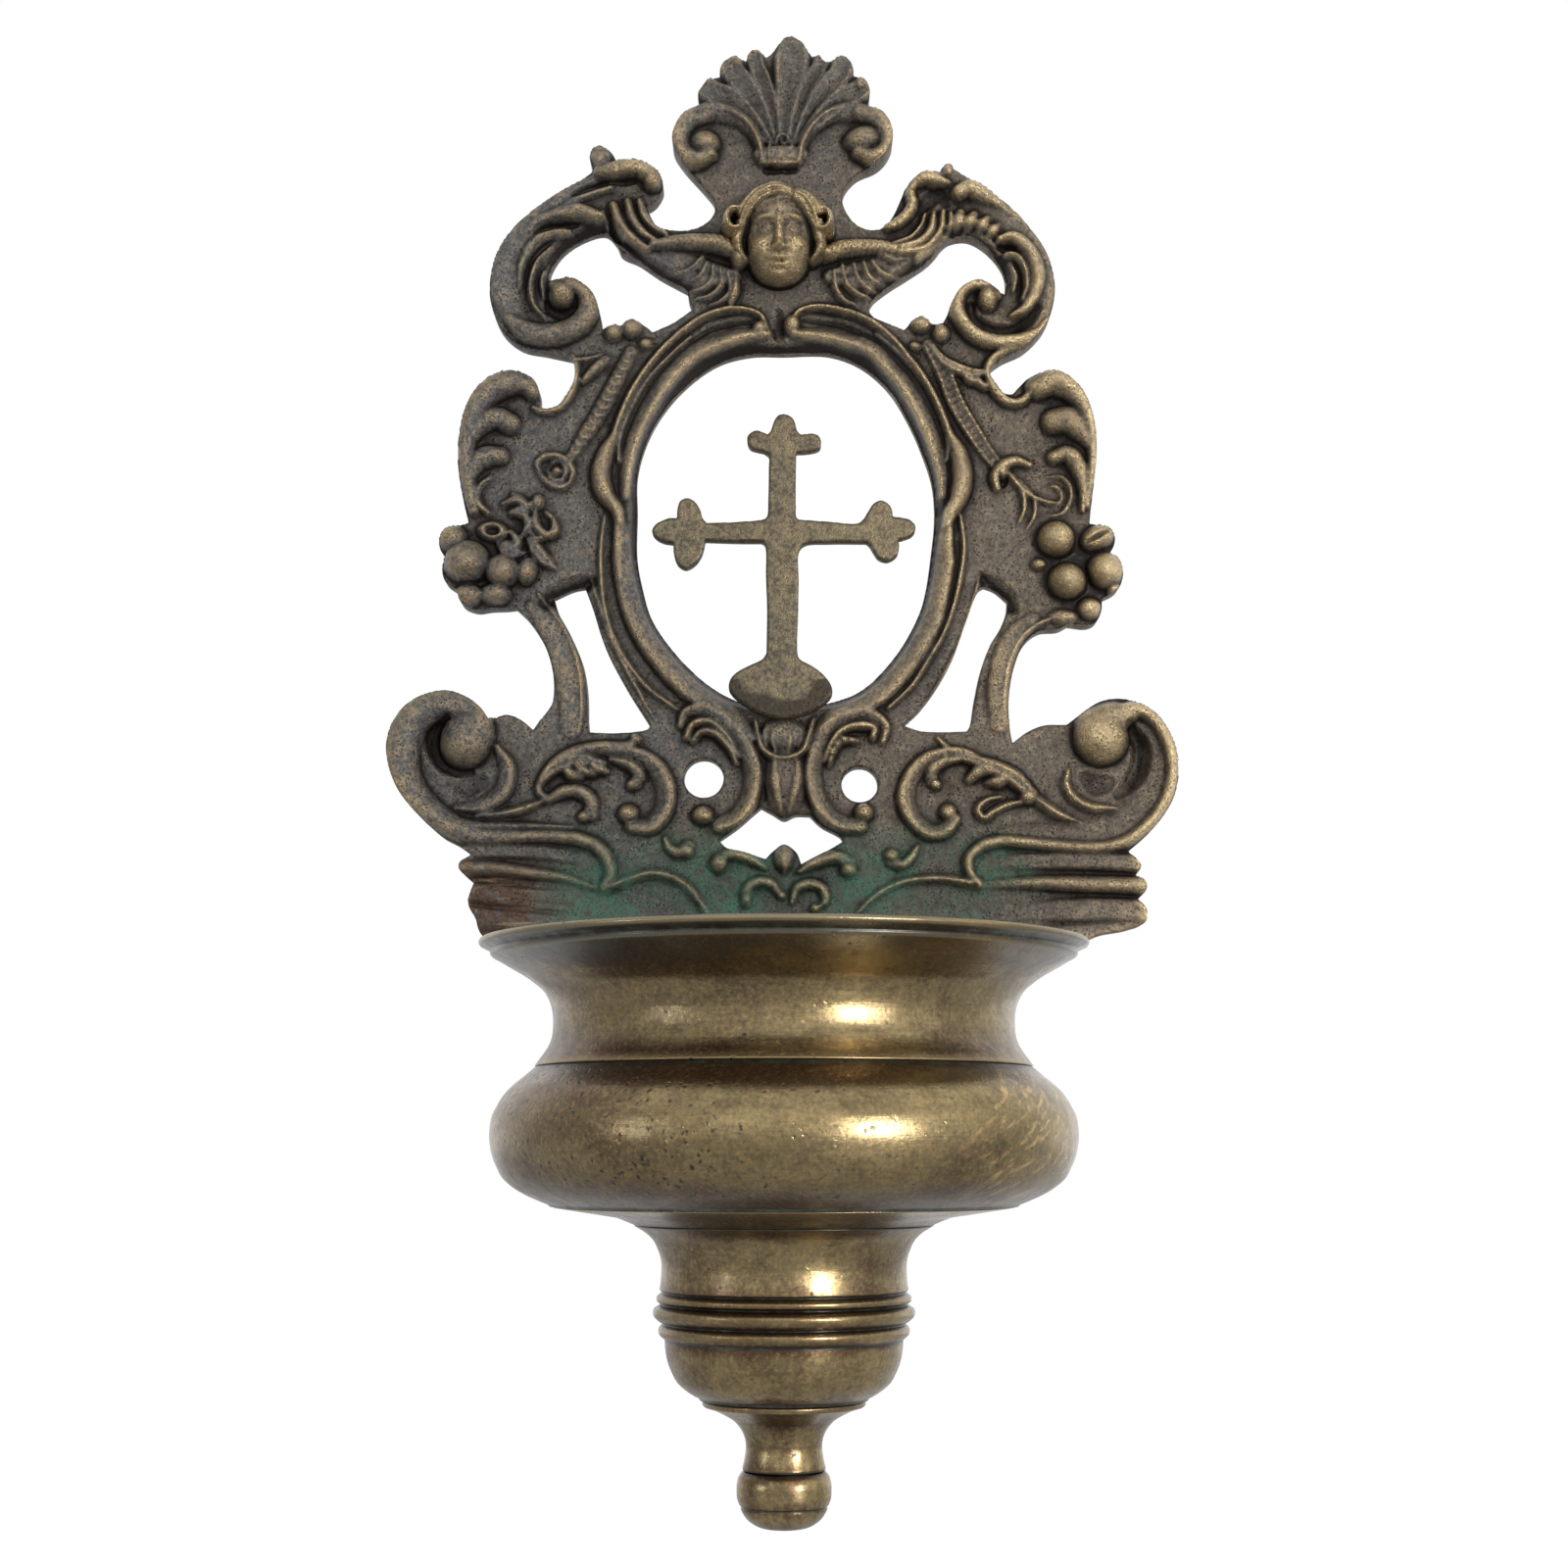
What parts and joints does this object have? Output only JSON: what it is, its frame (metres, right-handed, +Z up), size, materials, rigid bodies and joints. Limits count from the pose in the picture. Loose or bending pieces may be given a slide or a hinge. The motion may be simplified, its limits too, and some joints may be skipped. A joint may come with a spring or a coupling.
{
  "type": "holy water font",
  "caption": "Wall-hung brass holy water font with an openwork cast back plate, an oval with a cross, and a turned basin with a pendant.",
  "frame": {"origin": "on the wall plane, midway between the two screw holes of the back plate", "axes": "+Z up, +X to the right of someone facing the font, +Y into the wall; the front faces -Y"},
  "size_m": [0.1387, 0.0967, 0.2586],
  "materials": {
    "patina": "aged",
    "cross_brass": "satin",
    "turned_brass": "satin",
    "iron": "dull",
    "leather": "matt"
  },
  "bodies": {
    "root": {"back_plate": "patina", "cross": "cross_brass", "basin_collar": "turned_brass", "basin_bulge": "turned_brass", "basin_floor": "turned_brass", "sealing_washer": "leather", "tie_rod_nut": "iron", "tie_rod": "iron", "pendant_body": "turned_brass", "finial_stem": "turned_brass", "finial_knob": "turned_brass", "basin_rivet_left": "turned_brass", "basin_rivet_right": "turned_brass"}
  },
  "joints": []
}
